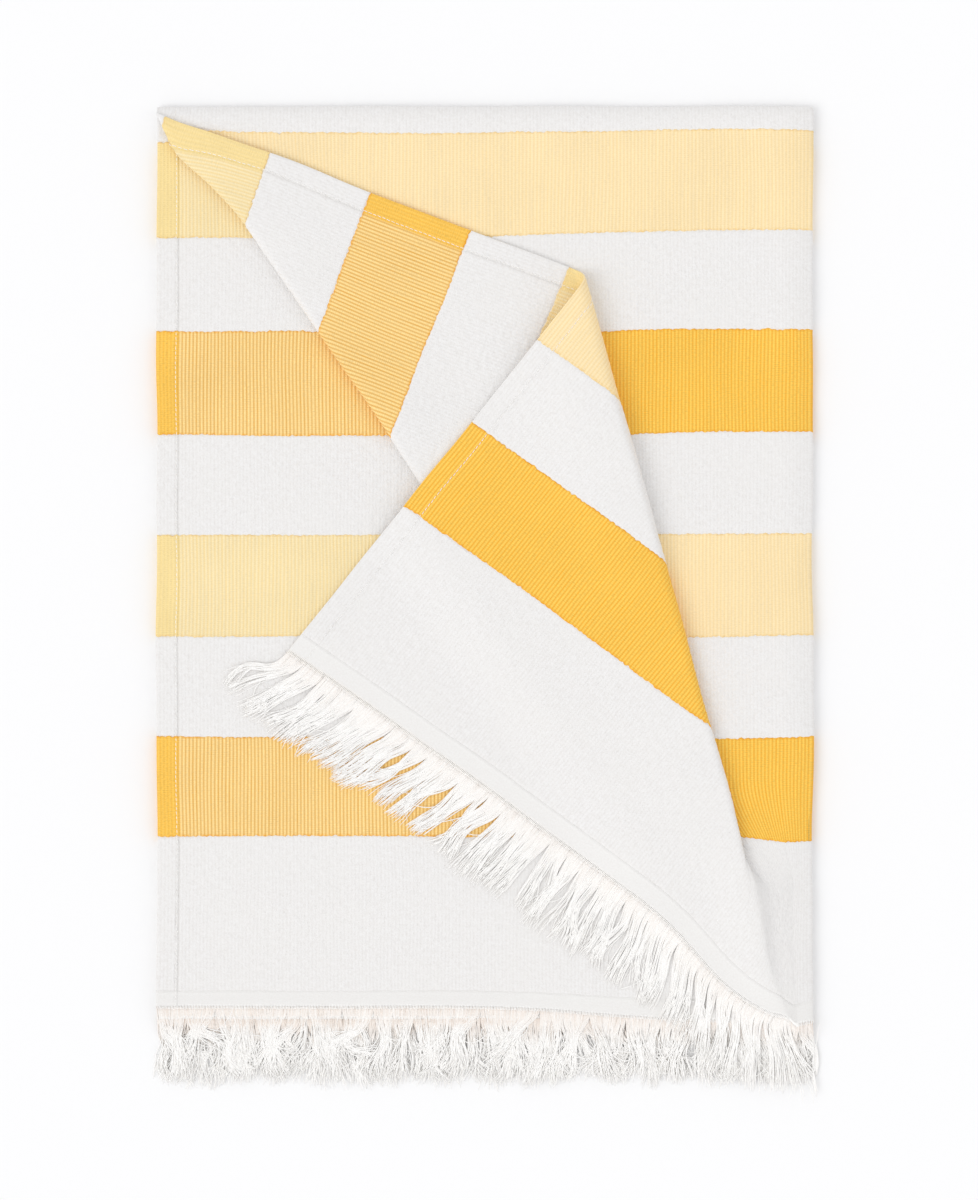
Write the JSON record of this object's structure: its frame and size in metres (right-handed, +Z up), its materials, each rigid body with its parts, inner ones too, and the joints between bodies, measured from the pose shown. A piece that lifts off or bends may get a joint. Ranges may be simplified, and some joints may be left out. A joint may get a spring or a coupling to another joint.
{
  "type": "fringed beach towel",
  "caption": "Striped, fringed cotton beach towel, folded flat, with the front corner turned back and over itself.",
  "frame": {"origin": "centre of the towel's footprint, on the surface that it lies on", "axes": "+Z up out of the surface, through the folded layers; +Y along the towel's length towards the top fold; +X towards the right-hand fold"},
  "size_m": [0.5012, 0.7514, 0.0317],
  "materials": {
    "terry_white": "white cotton terry with a low, dense pile",
    "ribbed_light_yellow": "flat-woven cotton with fine lengthwise ribs, matte",
    "ribbed_amber": "flat-woven cotton with fine lengthwise ribs, matte",
    "flat_woven_ecru": "smooth plain-woven cotton without pile",
    "fringe_cotton": "loose untwisted cotton warp threads",
    "sewing_thread": "pale cotton sewing thread"
  },
  "bodies": {
    "root": {"back_amber_stripe_1": "ribbed_amber", "back_amber_stripe_2": "ribbed_amber", "back_end_stitching": "sewing_thread", "back_flat_woven_end": "flat_woven_ecru", "back_fringe": "fringe_cotton", "back_light_stripe_1": "ribbed_light_yellow", "back_light_stripe_2": "ribbed_light_yellow", "back_white_end_stripe": "terry_white", "back_white_stripe_1": "terry_white", "back_white_stripe_2": "terry_white", "back_white_stripe_3": "terry_white", "front_amber_stripe_1": "ribbed_amber", "front_amber_stripe_2": "ribbed_amber", "front_end_stitching": "sewing_thread", "front_flat_woven_end": "flat_woven_ecru", "front_fringe": "fringe_cotton", "front_light_stripe_1": "ribbed_light_yellow", "front_light_stripe_2": "ribbed_light_yellow", "front_white_end_stripe": "terry_white", "front_white_stripe_1": "terry_white", "front_white_stripe_2": "terry_white", "front_white_stripe_3": "terry_white", "inner_hem_thread": "sewing_thread", "outer_hem_thread": "sewing_thread", "turned_corner_fringe": "fringe_cotton", "white_middle_stripe": "terry_white"}
  },
  "joints": []
}
